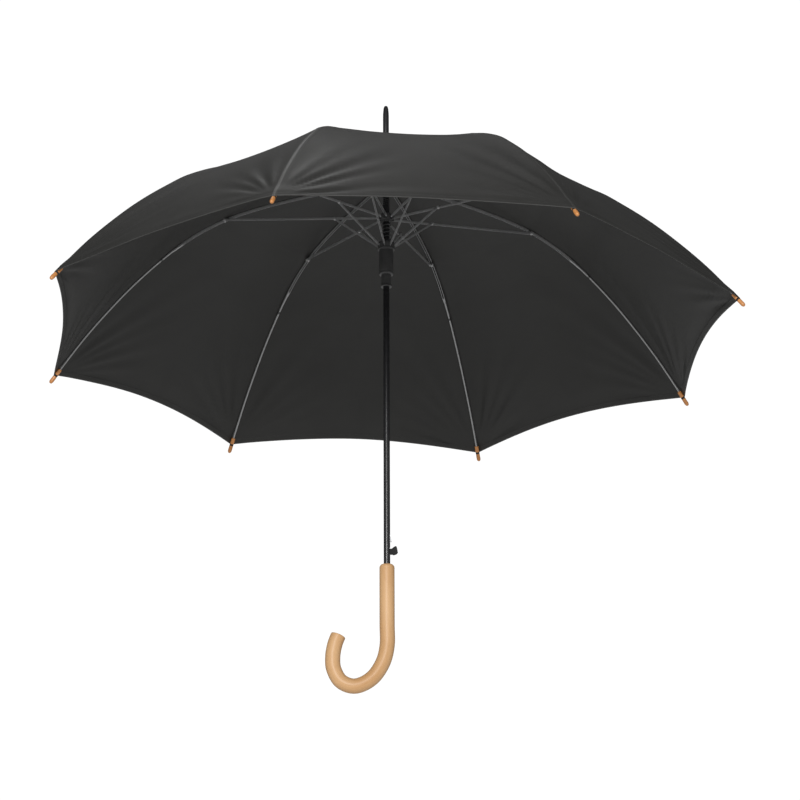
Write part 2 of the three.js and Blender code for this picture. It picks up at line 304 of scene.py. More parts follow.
def along_line(shells, line, tangents, sections):
    """Sweeps sections of (sideways, upwards) points along a line in the rib's plane."""
    loops, painted_shade = [], []
    for (x, z), (tx, tz), section in zip(line, tangents, sections):
        loops.append([(x - tz * up, side, z + tx * up) for side, up in section])
        # corners deep inside a channel take painted shade, which stands in for the shadow there
        is_channel = len(section) == CHANNEL_CORNERS
        painted_shade += [float(is_channel and i in CHANNEL_SHADE_CORNERS) for i in range(len(section))]
    return rings(shells, loops, painted_shade=painted_shade)


def channel(width, height, wall):
    """The section of a folded steel channel, open below, with rounded shoulders."""
    w, h = width / 2, height / 2
    return [(-w, -h), (-w, h - 0.6), (-w + 0.35, h - 0.12), (-w + 0.8, h), (w - 0.8, h),
            (w - 0.35, h - 0.12), (w, h - 0.6), (w, -h), (w - wall, -h), (w - wall, h - wall - 0.3),
            (w - wall - 0.4, h - wall), (-w + wall + 0.4, h - wall), (-w + wall, h - wall - 0.3),
            (-w + wall, -h)]


def circle(radius, sides):
    return [(radius * math.cos(2 * math.pi * i / sides), radius * math.sin(2 * math.pi * i / sides))
            for i in range(sides)]


def helix(shells, radius, wire, bottom, top, turns):
    """A coil spring whose end turns lie flat, with each wire section square to the wire's path."""
    steps = int(turns * COIL_STEPS)
    loops = []
    for i in range(steps + 1):
        turn = turns * i / steps
        share = np.clip((turn - FLAT_TURNS) / (turns - 2 * FLAT_TURNS), 0, 1)
        z = bottom + wire + (top - bottom - 2 * wire) * float(share)
        z += wire * 0.9 * (min(turn, FLAT_TURNS) - FLAT_TURNS) if turn < FLAT_TURNS else 0
        z += wire * 0.9 * (turn - (turns - FLAT_TURNS)) if turn > turns - FLAT_TURNS else 0
        z = min(max(z, bottom + wire), top - wire)
        angle = 2 * math.pi * turn
        out = np.array([math.cos(angle), math.sin(angle), 0.0])
        ahead = np.array([-math.sin(angle), math.cos(angle), (top - bottom) / turns / (2 * math.pi * radius)])
        ahead /= np.linalg.norm(ahead)
        up = np.cross(out, ahead) * -1
        centre = out * radius + np.array([0, 0, z])
        loops.append([centre + out * a + up * b for a, b in circle(wire, COIL_SIDES)])
    return rings(shells, loops)


def windowed_tube(shells, inner, outer, z0, z1, windows, segments=48):
    """A tube with oblong windows facing +X, each (half width, low, high)."""
    angles = set(round(2 * math.pi * i / segments, 9) for i in range(segments))
    levels = {z0, z1}
    for half, low, high in windows:
        reach = math.asin(half / outer)
        angles = {a for a in angles if abs((a + math.pi) % (2 * math.pi) - math.pi) > reach + 0.05 or a == 0}
        angles |= {round(reach, 9), round(2 * math.pi - reach, 9)}
        levels |= {low, high}
    angles, levels = sorted(angles), sorted(levels)
    count = len(angles)
    corners = [(r * math.cos(a), r * math.sin(a), z) for r in (inner, outer) for z in levels for a in angles]
    layer = count * len(levels)

    def is_open(i, j):
        if not (0 <= j < len(levels) - 1):
            return True
        a0, a1 = angles[i], angles[(i + 1) % count] or 2 * math.pi
        middle = ((a0 + a1) / 2 + math.pi) % (2 * math.pi) - math.pi
        z = (levels[j] + levels[j + 1]) / 2
        return any(abs(middle) < math.asin(half / outer) and low < z < high for half, low, high in windows)

    faces = []
    for j in range(len(levels) - 1):
        for i in range(count):
            if is_open(i, j):
                continue
            a, b = j * count + i, j * count + (i + 1) % count
            c, d = b + count, a + count
            faces += [[a, d, c, b], [a + layer, b + layer, c + layer, d + layer]]
            for (p, q), beyond in (((a, b), (i, j - 1)), ((d, c), (i, j + 1)),
                                   ((a, d), ((i - 1) % count, j)), ((b, c), ((i + 1) % count, j))):
                if is_open(*beyond):
                    faces.append([p, q, q + layer, p + layer])
    return shells.add(corners, faces)


def tooth(shells, profile, half_slot, sector_start, sector_end, steps=6):
    """One tooth of a notched disc, between two straight-walled slots of these half widths."""
    loops = []
    for i in range(steps + 1):
        t = i / steps
        loop = []
        for r, z in profile:
            start = sector_start + math.asin(half_slot[0] / r)
            end = sector_end - math.asin(half_slot[1] / r)
            angle = start + (end - start) * t
            loop.append((r * math.cos(angle), r * math.sin(angle), z))
        loops.append(loop)
    return rings(shells, loops)


def wire_ring(shells, radius, wire, z, segments=64):
    profile = [(radius + a, z + b) for a, b in circle(wire, 10)]
    return lathe(shells, profile, segments)


# ---- Materials ----
class Paint:
    """A node material built up step by step on a principled shader."""

    def __init__(self, name, roughness, metallic=0.0, specular=0.5):
        self.material = bpy.data.materials.new(name)
        self.material.use_nodes = True
        self.tree = self.material.node_tree
        self.shader = self.tree.nodes["Principled BSDF"]
        self.set(Roughness=roughness, Metallic=metallic)
        self.shader.inputs["Specular IOR Level"].default_value = specular

    def set(self, **values):
        for name, value in values.items():
            self.shader.inputs[name.replace("_", " ")].default_value = value
        return self

    def node(self, kind, **inputs):
        made = self.tree.nodes.new(kind)
        for name, value in inputs.items():
            self.feed(made.inputs[name.replace("_", " ")], value)
        return made

    def feed(self, target, value):
        if isinstance(value, bpy.types.NodeSocket):
            self.tree.links.new(value, target)
        else:
            target.default_value = value

    def place(self, attribute="grain", scale=(1, 1, 1)):
        """Coordinates stored on the mesh, in millimetres, stretched."""
        source = self.node("ShaderNodeAttribute")
        source.attribute_name = attribute
        stretched = self.node("ShaderNodeMapping", Vector=source.outputs["Vector"])
        stretched.inputs["Scale"].default_value = [s / MM for s in scale]
        return stretched.outputs["Vector"]

    def noise(self, place, scale=1.0, detail=3.0, roughness=0.5):
        made = self.node("ShaderNodeTexNoise", Vector=place, Scale=scale, Detail=detail, Roughness=roughness)
        return made.outputs["Fac"]

    def waves(self, place, direction, scale=1.0, distortion=0.0):
        made = self.node("ShaderNodeTexWave", Vector=place, Scale=scale, Distortion=distortion)
        made.wave_type = "BANDS"
        made.bands_direction = direction
        return made.outputs["Fac"]

    def ramp(self, value, *stops):
        """Colours or greys by value: each stop is (position, colour)."""
        made = self.node("ShaderNodeValToRGB", Fac=value)
        band = made.color_ramp
        while len(band.elements) < len(stops):
            band.elements.new(0.5)
        for element, (position, colour) in zip(band.elements, stops):
            element.position = position
            element.color = (*colour, 1) if hasattr(colour, "__len__") else (colour, colour, colour, 1)
        return made.outputs["Color"]

    def calc(self, operation, a, b=0.0, c=0.5):
        made = self.tree.nodes.new("ShaderNodeMath")
        made.operation = operation
        for socket, value in zip(made.inputs, (a, b, c)):
            self.feed(socket, value)
        return made.outputs[0]

    def mix(self, factor, a, b):
        made = self.tree.nodes.new("ShaderNodeMix")
        made.data_type = "RGBA"
        for socket, value in ((made.inputs[0], factor), (made.inputs[6], a), (made.inputs[7], b)):
            if isinstance(value, bpy.types.NodeSocket):
                self.tree.links.new(value, socket)
            else:
                socket.default_value = (*value, 1) if hasattr(value, "__len__") else value
        return made.outputs[2]

    def colour(self, socket):
        self.tree.links.new(socket, self.shader.inputs["Base Color"])
        return self

    def rough(self, value, low, high):
        spread = self.node("ShaderNodeMapRange", Value=value, To_Min=low, To_Max=high)
        self.tree.links.new(spread.outputs[0], self.shader.inputs["Roughness"])
        return self

    def bump(self, height, distance, strength=1.0):
        """Adds a bump, on top of any that is there."""
        made = self.node("ShaderNodeBump", Height=height, Distance=distance * MM, Strength=strength)
        before = self.shader.inputs["Normal"].links
        if before:
            self.tree.links.new(before[0].from_socket, made.inputs["Normal"])
        self.tree.links.new(made.outputs["Normal"], self.shader.inputs["Normal"])
        return self


STITCHES_PER_MM = 0.36
STITCH_GAP = 0.28  # share of each stitch's length
STITCH_HALF_WIDTH = 0.22


def canopy_cloth():
    """Black pongee: plain weave, satin sheen, seam and hem stitching."""
    paint = Paint("canopy_cloth", 0.45, specular=0.35)
    paint.set(Sheen_Weight=0.015, Sheen_Roughness=0.6, Sheen_Tint=(0.8, 0.8, 0.77, 1))
    place = paint.place("cut")
    split = paint.node("ShaderNodeSeparateXYZ", Vector=place)
    lateral, from_hem = split.outputs["X"], split.outputs["Y"]
    warp = paint.waves(place, "X", scale=0.75, distortion=0.6)
    weft = paint.waves(place, "Y", scale=0.75, distortion=0.6)
    weave = paint.calc("MULTIPLY", warp, weft)
    slubs = paint.noise(paint.place("cut", (0.02, 1.6, 1)), 1.0, 2)
    blotch = paint.noise(place, 0.012, 4, 0.55)
    tone = paint.ramp(blotch, (0.3, (0.0215, 0.0213, 0.0198)), (0.7, (0.0285, 0.0282, 0.0265)))
    tone = paint.mix(paint.calc("MULTIPLY", slubs, 0.25), tone, (0.036, 0.036, 0.035))
    # two rows of stitches beside the rib's seam, one row in the hem
    side = paint.calc("ABSOLUTE", lateral)
    seam_row = paint.calc("COMPARE", side, 2.4, STITCH_HALF_WIDTH)
    hem_row = paint.calc("COMPARE", from_hem, 7.2, STITCH_HALF_WIDTH)
    seam_dash, hem_dash = (paint.calc("FRACT", paint.calc("MULTIPLY", run, STITCHES_PER_MM))
                           for run in (from_hem, lateral))
    seam_dash = paint.calc("GREATER_THAN", seam_dash, STITCH_GAP)
    hem_dash = paint.calc("GREATER_THAN", hem_dash, STITCH_GAP)
    stitches = paint.calc("MAXIMUM", paint.calc("MULTIPLY", seam_row, seam_dash),
                          paint.calc("MULTIPLY", hem_row, hem_dash))
    tone = paint.mix(stitches, tone, (0.045, 0.045, 0.044))
    # painted highlights: thin lighter lines along the hem's edge and beside the seam, standing in for the
    # light that catches them
    hem_highlight = paint.calc("LESS_THAN", from_hem, 1.3)
    seam_highlight = paint.calc("COMPARE", side, 1.15, 0.45)
    edges = paint.calc("MAXIMUM", paint.calc("MULTIPLY", hem_highlight, 0.65),
                       paint.calc("MULTIPLY", seam_highlight, 0.55))
    tone = paint.mix(edges, tone, (0.11, 0.11, 0.106))
    paint.colour(tone)
    paint.rough(blotch, 0.42, 0.54)
    paint.bump(weave, 0.05, 0.35)
    paint.bump(stitches, 0.22, 0.8)
    paint.bump(paint.noise(place, 0.06, 5, 0.6), 0.25, 0.5)
    return paint.material


def wood(name, pale, dark, fleck, scale=1.0, coat=0.5):
    """Lacquered wood whose grain follows the piece: ray flecks, growth lines, and slow changes of tone."""
    paint = Paint(name, 0.38, specular=0.4)
    paint.set(Coat_Weight=coat, Coat_Roughness=0.3, Coat_IOR=1.5)
    stretch = (1, 1, 0.045)
    fibres = paint.noise(paint.place("grain", [s * 1.6 * scale for s in stretch]), 1.0, 6, 0.65)
    rings_at = paint.place("grain", [s * 0.20 * scale for s in stretch])
    growth = paint.waves(rings_at, "X", scale=0.9, distortion=2.2)
    slow = paint.noise(paint.place("grain", [s * 0.035 * scale for s in (1, 1, 0.35)]), 1.0, 3)
    tone = paint.ramp(slow, (0.3, dark), (0.7, pale))
    tone = paint.mix(paint.calc("MULTIPLY", growth, 0.42), tone, dark)
    tone = paint.mix(paint.calc("MULTIPLY", paint.ramp(fibres, (0.42, 0.0), (0.62, 1.0)), 0.4), tone, pale)
    ray_place = paint.place("grain", [s * scale for s in (1.15, 1.15, 0.22)])
    rays = paint.node("ShaderNodeTexVoronoi", Vector=ray_place)
    specks = paint.ramp(rays.outputs["Distance"], (0.10, 1.0), (0.22, 0.0))
    tone = paint.mix(paint.calc("MULTIPLY", specks, 0.35), tone, fleck)
    paint.colour(tone)
    paint.rough(fibres, 0.4, 0.52)
    paint.bump(fibres, 0.06, 0.35)
    paint.bump(specks, 0.05, 0.25)
    return paint.material


def enamel(name, base, worn, roughness, metallic, coat=0.0, wear=0.6, painted_shade=None):
    """Painted steel: faint orange peel, dust specks, and rubbed places where the paint has thinned; where a
    shade colour is given, painted shade darkens the inside of a channel.
    """
    paint = Paint(name, roughness, metallic)
    paint.set(Coat_Weight=coat, Coat_Roughness=0.08)
    place = paint.place()
    rubbed = paint.ramp(paint.noise(place, 0.35, 6, 0.7), (0.5, 0.0), (0.72, wear))
    streaks = paint.noise(paint.place("grain", (2.5, 2.5, 0.08)), 1.0, 4)
    tone = paint.mix(rubbed, base, worn)
    tone = paint.mix(paint.calc("MULTIPLY", streaks, 0.25), tone, worn)
    # painted shade: the inside of a channel is darkened to this colour, standing in for its shadow
    if painted_shade:
        inside = paint.node("ShaderNodeAttribute")
        inside.attribute_name = "painted_shade"
        tone = paint.mix(inside.outputs["Fac"], tone, painted_shade)
    paint.colour(tone)
    paint.rough(streaks, roughness * 0.8, min(1, roughness * 1.35))
    paint.bump(paint.noise(place, 1.3, 4), 0.008, 0.3)
    return paint.material


def moulded(name, base, roughness):
    """Moulded plastic: fine spark texture, slight tone changes, shiny rubbed spots."""
    paint = Paint(name, roughness)
    place = paint.place()
    spark = paint.noise(place, 3.2, 3, 0.6)
    slow = paint.noise(place, 0.18, 3)
    lighter = tuple(c * 2.1 for c in base)
    paint.colour(paint.mix(paint.calc("MULTIPLY", slow, 0.6), base, lighter))
    paint.rough(slow, roughness * 0.75, min(1, roughness * 1.3))
    paint.bump(spark, 0.05, 0.4)
    return paint.material


def spring_wire():
    paint = Paint("spring_wire", 0.3, metallic=0.5)
    paint.set(Coat_Weight=0.5, Coat_Roughness=0.1)
    place = paint.place()
    patches = paint.noise(place, 0.5, 5, 0.6)
    tone = paint.ramp(patches, (0.35, (0.025, 0.025, 0.026)), (0.7, (0.12, 0.12, 0.123)))
    paint.colour(tone)
    paint.rough(paint.noise(place, 2.0, 3), 0.2, 0.42)
    paint.bump(paint.noise(place, 4.0, 3), 0.02, 0.3)
    return paint.material


CLOTH = canopy_cloth()
BEECH = wood("beech", (0.72, 0.455, 0.235), (0.54, 0.295, 0.125), (0.38, 0.19, 0.08), coat=0.12)
TIP_WOOD = wood("tip_wood", (0.70, 0.31, 0.095), (0.47, 0.18, 0.045), (0.26, 0.09, 0.03), scale=1.6, coat=0.6)
SHAFT_PAINT = enamel("shaft_paint", (0.010, 0.010, 0.011), (0.03, 0.03, 0.032), 0.24, 0.0, coat=0.35,
                     wear=0.3)
# the last colour here is painted shade inside the rib's channel
RIB_PAINT = enamel("rib_paint", (0.40, 0.40, 0.402), (0.54, 0.54, 0.545), 0.4, 0.6, wear=0.8,
                   painted_shade=(0.012, 0.012, 0.012))
BUTTON_PAINT = enamel("button_paint", (0.007, 0.007, 0.007), (0.022, 0.022, 0.022), 0.75, 0.0, wear=0.5)
CATCH_STEEL = enamel("catch_steel", (0.16, 0.16, 0.165), (0.32, 0.32, 0.33), 0.33, 0.9)
NYLON = moulded("nylon", (0.042, 0.042, 0.042), 0.34)
GLOSSY = moulded("glossy_plastic", (0.009, 0.009, 0.010), 0.26)
WIRE = spring_wire()
THREAD = moulded("thread", (0.012, 0.012, 0.012), 0.85)


# ---- Canopy ----
FABRIC_SAG = 6.0
# how far the hem curves in, for each panel: the panel between rib k and the next one
HEM_ARCS = {1: 19.0, 2: 19.0, 3: 16.5, 4: 20.0, 5: 19.0, 6: 19.0, 7: 12.5, 8: 19.0}
CLOTH_THICKNESS = 0.3
ACROSS_STEPS = 64
ALONG_STEPS = 112
HEM_WIDTH = 8.5
JOINT_FROM_HEM = 338.0
CANOPY_LINE, CANOPY_TANGENTS, CANOPY_LENGTH = smooth_line([(5.6, CROWN_JOINT[1]), *RIB_LINE], 1200)
FLEX_REACH = 34.0


def on_line(share):
    at = np.clip(share, 0, 1) * (len(CANOPY_LINE) - 1)
    index = np.arange(len(CANOPY_LINE))
    x, z = (np.interp(at, index, CANOPY_LINE[:, i]) for i in (0, 1))
    tx, tz = (np.interp(at, index, CANOPY_TANGENTS[:, i]) for i in (0, 1))
    return x, z, tx, tz


JOINT_RUN, FLEX_RUN = (CANOPY_LENGTH * np.argmin(np.abs(CANOPY_LINE[:, 0] - at)) / (len(CANOPY_LINE) - 1)
                       for at in (RIB_JOINT[0], FLEX[0]))


def rests_on_rib(from_crown, from_hem):
    """How far the cloth's underside is above the rib's middle line: over crown, joint, socket and tip."""
    return (1.8 + 1.75 * (1 - smoothstep(from_crown, 12, 42)) + 0.95 * bump(from_crown, JOINT_RUN, 11)
            + 0.95 * bump(from_crown, FLEX_RUN - 4, 19)
            + 1.45 * (1 - smoothstep(from_hem, 12, 34)))


def creases(k, lateral, from_hem, across):
    """Pull lines in the cloth, in millimetres: fans from the rib tips and from the rib joint."""
    draw = np.random.default_rng(40 + k)
    lift = np.zeros_like(lateral)
    inward = np.maximum(from_hem, 0) + 1e-6
    for side in (-1, 1):
        y = np.maximum(side * lateral, 0)
        distance = np.hypot(y, inward) + 1e-6
        bearing = np.degrees(np.arctan2(y, inward))
        for middle in (15, 30, 45, 60, 74):
            at = middle + draw.uniform(-4, 4)
            width = draw.uniform(4.0, 6.5)
            reach = draw.uniform(110, 210)
            height = draw.uniform(1.4, 3.2)
            rise = smoothstep(distance, 18, 75) * np.exp(-(distance / reach) ** 1.6)
            lift += height * rise * (bump(bearing, at, width) - 0.55 * bump(bearing, at + 1.9 * width, width))
        past_joint = from_hem - JOINT_FROM_HEM
        around = np.hypot(y, past_joint) + 1e-6
        angle = np.degrees(np.arctan2(past_joint, y))
        for middle in (-52, -18, 20, 55):
            at = middle + draw.uniform(-8, 8)
            fan = draw.uniform(0.12, 0.3) * bump(angle, at, 7)
            lift += fan * smoothstep(around, 6, 25) * np.exp(-around / 60)
    edge = (1 - across ** 2) ** 1.5 * smoothstep(np.abs(lateral), 2, 12)
    return lift * edge


def slow_waves(x, y):
    """Very shallow waves over the whole canopy, the same on both sides of each gore's edge."""
    return (0.55 * np.sin(x / 61 + 1.3 * np.sin(y / 83)) * np.cos(y / 57 + 0.8 * np.sin(x / 91 + 1))
            + 0.25 * np.sin(x / 29 + y / 37 + 2))


def gore_points(k, across, along, below):
    """Corners of gore k in its rib's plane, so far below the cloth's top, and each one's place in the cut."""
    share_of_side = np.abs(across)
    between = 1 - (1 - share_of_side) ** 2
    arc = np.where(across > 0, HEM_ARCS[k], HEM_ARCS[(k - 2) % 8 + 1]) * between
    share = along * (1 - arc / CANOPY_LENGTH)
    x, z, tx, tz = on_line(share)
    from_crown = share * CANOPY_LENGTH
    from_hem = (1 - along) * (CANOPY_LENGTH - arc)
    angle = across * SECTOR / 2
    lateral = x * math.cos(SECTOR / 2) / np.cos(SECTOR / 2 * (1 - share_of_side)) * np.sin(angle)
    rise = rests_on_rib(from_crown, from_hem) + CLOTH_THICKNESS
    rise -= FABRIC_SAG * between * np.sin(np.pi * np.minimum(share, 0.92))
    ground = (x * np.cos(azimuth(k) + angle), x * np.sin(azimuth(k) + angle))
    rise += slow_waves(*ground) * smoothstep(share_of_side * x, 8, 60) * smoothstep(from_crown, 30, 120)
    rise += creases(k, lateral, from_hem, across)
    rise += 0.28 * bump(np.abs(lateral), 1.5, 1.7) * smoothstep(from_crown, 10, 40)  # the seam's folded edges
    rise -= 0.35 * bump(lateral, 0, 0.7) * smoothstep(from_crown, 10, 40)  # and the groove between them
    rise -= 0.12 * bump(from_hem, HEM_WIDTH + 0.8, 1.0)  # the hem's fold shows as a shallow step
    depth = below * (1 + 1.6 * (1 - smoothstep(from_hem, HEM_WIDTH - 0.8, HEM_WIDTH + 0.4)))
    rise -= depth
    radius = (x - tz * rise) * math.cos(SECTOR / 2) / np.cos(SECTOR / 2 * (1 - share_of_side))
    corners = np.stack([radius * np.cos(angle), radius * np.sin(angle), z + tx * rise], axis=-1)
    return corners, np.stack([lateral, from_hem, np.zeros_like(lateral)], axis=-1)


def gore_grid():
    """Steps that are finer beside the rib and at the hem."""
    half = np.linspace(0, 1, ACROSS_STEPS // 2 + 1)
    half = 0.55 * half + 0.45 * half ** 2
    across = np.concatenate([-half[:0:-1], half])
    along = np.linspace(0, 1, ALONG_STEPS - 9)
    fine_hem = 1 - np.array([1.2, 3.0, 5.0, 6.6, 7.6, 8.4, 9.2, 10.4, 12.4, 15.4]) / CANOPY_LENGTH
    along = np.unique(np.concatenate([along[along < fine_hem.min() - 0.003], fine_hem, [1.0]]))
    return across, along


FLEX_INDEX = int(np.argmin(np.abs(CANOPY_LINE[:, 0] - FLEX[0])))
FLEX_WAY = CANOPY_TANGENTS[FLEX_INDEX]


def outer_share(corners):
    ahead = ((corners[:, 0] - FLEX[0]) * FLEX_WAY[0] + (corners[:, 2] - FLEX[1]) * FLEX_WAY[1]) / FLEX_REACH
    return smoothstep(ahead, -1, 1)


def fold_group():
    """A node group that carries each corner of a gore by the ribs on either side: it does nothing at rest."""
    tree = bpy.data.node_groups.new("fold_with_ribs", "GeometryNodeTree")
    tree.interface.new_socket("Geometry", in_out="INPUT", socket_type="NodeSocketGeometry")
    for name in FOLD_BODIES:
        tree.interface.new_socket(name, in_out="INPUT", socket_type="NodeSocketObject")
    tree.interface.new_socket("Geometry", in_out="OUTPUT", socket_type="NodeSocketGeometry")
    made, link = tree.nodes.new, tree.links.new
    inside, outside = made("NodeGroupInput"), made("NodeGroupOutput")
    position = made("GeometryNodeInputPosition").outputs[0]

    def carried(name):
        info = made("GeometryNodeObjectInfo")
        info.transform_space = "RELATIVE"
        link(inside.outputs[name], info.inputs["Object"])
        turned = made("FunctionNodeTransformPoint")
        link(position, turned.inputs["Vector"])
        link(info.outputs["Transform"], turned.inputs["Transform"])
        return turned.outputs[0]

    def stored(name):
        read = made("GeometryNodeInputNamedAttribute")
        read.data_type = "FLOAT"
        read.inputs["Name"].default_value = name
        return read.outputs["Attribute"]

    def mixed(factor, a, b):
        node = made("ShaderNodeMix")
        node.data_type = "VECTOR"
        for socket, value in ((node.inputs[0], factor), (node.inputs[4], a), (node.inputs[5], b)):
            link(value, socket)
        return node.outputs[1]

    outer = stored("outer_share")
    place = mixed(outer, position, carried("own_rod"))
    place = mixed(stored("next_share"), place, mixed(outer, carried("next_rib"), carried("next_rod")))
    before = mixed(outer, carried("previous_rib"), carried("previous_rod"))
    place = mixed(stored("previous_share"), place, before)
    moved = made("GeometryNodeSetPosition")
    link(inside.outputs["Geometry"], moved.inputs["Geometry"])
    link(place, moved.inputs["Position"])
    link(moved.outputs["Geometry"], outside.inputs["Geometry"])
    return tree


FOLD_BODIES = ("own_rod", "next_rib", "next_rod", "previous_rib", "previous_rod")
FOLD = fold_group()


def fold_with_ribs(piece, k, corners, across):
    """Stores how much each corner follows its own rib and its neighbours, and adds the folding modifier."""
    follow = (np.abs(across) + 0.08 * np.sin(np.pi * np.abs(across))) / 2
    shares = {"outer_share": outer_share(corners), "next_share": np.where(across > 0, follow, 0),
              "previous_share": np.where(across < 0, follow, 0)}
    for name, values in shares.items():
        stored = piece.data.attributes.new(name, "FLOAT", "POINT")
        stored.data.foreach_set("value", values.astype(np.float32))
    following, previous = k % 8 + 1, (k - 2) % 8 + 1
    bodies = {"own_rod": f"rod_{k}", "next_rib": f"rib_{following}", "next_rod": f"rod_{following}",
              "previous_rib": f"rib_{previous}", "previous_rod": f"rod_{previous}"}
    modifier = piece.modifiers.new("fold_with_ribs", "NODES")
    modifier.node_group = FOLD
    for item in FOLD.interface.items_tree:
        if item.in_out == "INPUT" and item.name in bodies:
            modifier[item.identifier] = frame["bodies"][bodies[item.name]]


def make_gores():
    across_steps, along_steps = gore_grid()
    across, along = (a.ravel() for a in np.meshgrid(across_steps, along_steps, indexing="ij"))
    rows, columns = len(across_steps), len(along_steps)
    count = rows * columns
    faces = []
    for i in range(rows - 1):
        for j in range(columns - 1):
            a, b = i * columns + j, (i + 1) * columns + j
            c, d = b + 1, a + 1
            faces += [[a, d, c, b], [a + count, b + count, c + count, d + count]]
    rim = [i * columns for i in range(rows)] + [(rows - 1) * columns + j for j in range(1, columns)]
    rim += [i * columns + columns - 1 for i in range(rows - 2, -1, -1)] + list(range(columns - 2, 0, -1))
    for here, after in zip(rim, rim[1:] + rim[:1]):
        faces.append([here, after, after + count, here + count])
    pieces = {}
    for k in RIBS:
        outer, cut = gore_points(k, across, along, np.zeros_like(across))
        inner, _ = gore_points(k, across, along, np.full_like(across, CLOTH_THICKNESS))
        shells = Shells().add(np.vstack([outer, inner]), faces)
        gore = shells.piece(f"gore_{k}", CLOTH, "canopy_cloth", azimuth(k), sharp=80)
        stored = gore.data.attributes.new("cut", "FLOAT_VECTOR", "POINT")
        stored.data.foreach_set("vector", (np.vstack([cut, cut]) * MM).astype(np.float32).ravel())
        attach(gore, f"rib_{k}")
        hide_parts(f"canopy_gore_{k}")
        fold_with_ribs(gore, k, np.vstack([outer, inner]), np.concatenate([across, across]))
        pieces[k] = gore
    share_edge_normals(pieces, rows, columns)
    return pieces


def share_edge_normals(pieces, rows, columns):
    """Gives two neighbouring gores the same shading along the line where their meshes meet."""
    count = rows * columns
    normals = {}
    for k, gore in pieces.items():
        corners = np.zeros(len(gore.data.vertices) * 3, np.float32)
        gore.data.vertices.foreach_get("co", corners)
        grid = corners.reshape(2, rows, columns, 3)
        normals[k] = np.zeros((2 * count, 3), np.float32)
        for layer, sign in ((0, 1), (1, -1)):
            by_row, by_column = np.gradient(grid[layer], axis=0), np.gradient(grid[layer], axis=1)
            square = np.cross(by_row, by_column)
            square /= np.maximum(np.linalg.norm(square, axis=-1, keepdims=True), 1e-12)
            outward = -1 if square[rows // 2, columns // 2, 2] < 0 else 1
            normals[k][layer * count:(layer + 1) * count] = (square * outward * sign).reshape(-1, 3)
    for k in RIBS:
        after = k % 8 + 1
        for layer in (0, 1):
            last = slice(layer * count + (rows - 1) * columns, layer * count + rows * columns)
            first = slice(layer * count, layer * count + columns)
            mean = normals[k][last] + normals[after][first]
            mean /= np.maximum(np.linalg.norm(mean, axis=1)[:, None], 1e-12)
            normals[k][last] = mean
            normals[after][first] = mean
    for k, gore in pieces.items():
        gore.data.normals_split_custom_set_from_vertices(normals[k].tolist())


# ---- Ribs, stretchers, links, tips ----
RIB_WIDTH, RIB_HEIGHT = 3.2, 3.4
STRETCHER_SIDES = (1.9, 4.1)
LINK_SIDES = (-0.3, 1.6)
ROD_RADIUS = 1.4


def rib_shells():
    """The folded rib with its eye and rivet, the swaged socket, and the thin rod."""
    shells = Shells()
    line, tangents, _ = smooth_line(RIB_LINE, 1200)
    flex_at = int(np.argmin(np.hypot(line[:, 0] - FLEX[0], line[:, 1] - FLEX[1])))
    fluted = np.unique(np.linspace(6, flex_at - 20, 60).astype(int))
    section = channel(RIB_WIDTH, RIB_HEIGHT, 0.55)
    along_line(shells, line[fluted], tangents[fluted], [section] * len(fluted))
    disc(shells, CROWN_JOINT, 1.9, -1.5, 1.5)
    socket = np.arange(flex_at - 34, flex_at + 10, 4)
    reach = [1.5, 2.1, 2.25, 2.25, 2.25, 2.1, 2.1, 2.05, 1.9, 1.75, 1.55][:len(socket)]
    along_line(shells, line[socket], tangents[socket],
               [[(a * min(r, 1.62) / r, b) for a, b in circle(r, 16)] for r in reach])
    rod = np.unique(np.linspace(flex_at, len(line) - 6, 60).astype(int))
    along_line(shells, line[rod], tangents[rod], [circle(ROD_RADIUS, 12)] * len(rod))
    disc(shells, (RIB_JOINT[0], RIB_JOINT[1] - 0.7), 2.2, -1.62, 1.62)
    rivet(shells, RIB_JOINT, -1.6, -1)
    disc(shells, RIB_JOINT, 0.8, 1.5, STRETCHER_SIDES[1] + 0.1, sides=12, edge=0.1)
    rivet(shells, RIB_JOINT, STRETCHER_SIDES[1] + 0.05, 1, 1.2)
    return shells


def bar_between(shells, start, end, sides, height, eyes, nick=None):
    """A folded bar with flattened round eyes, and a shallow nick in its upper edge so far from its start."""
    start, end = np.array(start, float), np.array(end, float)
    length = np.linalg.norm(end - start)
    way = (end - start) / length
    places = [2.2, 4.0, *np.linspace(6, length - 6, 20), length - 4.0, length - 2.2]
    if nick:
        places = sorted(places + [nick - 1.5, nick - 1.2, nick + 1.2, nick + 1.5])
    width = sides[1] - sides[0]
    middle = (sides[0] + sides[1]) / 2
    wall = 0.45
    sections = []
    for place in places:
        flat = 1 - min(1.0, (min(place, length - place) - 2.2) / 3)
        section = channel(width, height * (1 - 0.15 * flat), wall)
        if nick and abs(place - nick) < 1.3:
            top = height / 2 - 1.0
            section = [(side, min(up, top if i < 8 else top - wall)) for i, (side, up) in enumerate(section)]
        sections.append([(side + middle, up) for side, up in section])
    along_line(shells, [start + way * place for place in places], [way] * len(places), sections)
    for at, radius in ((start, eyes[0]), (end, eyes[1])):
        disc(shells, at, radius, sides[0] + 0.15, sides[1] - 0.15)


def stretcher_shells():
    shells = Shells()
    bar_between(shells, UPPER_JOINT, RIB_JOINT, STRETCHER_SIDES, 3.0, (1.9, 2.2))
    disc(shells, LINK_JOINT, 2.2, STRETCHER_SIDES[0] + 0.05, STRETCHER_SIDES[1] - 0.05)
    disc(shells, LINK_JOINT, 0.8, LINK_SIDES[0] - 0.1, STRETCHER_SIDES[0] + 0.4, sides=12, edge=0.1)
    rivet(shells, LINK_JOINT, LINK_SIDES[0] - 0.02, -1, 1.15)
    rivet(shells, LINK_JOINT, STRETCHER_SIDES[1], 1, 1.15)
    return shells


def link_shells():
    shells = Shells()
    bar_between(shells, LOWER_JOINT, LINK_JOINT, LINK_SIDES, 3.0, (1.8, 2.1), nick=18.5)
    return shells


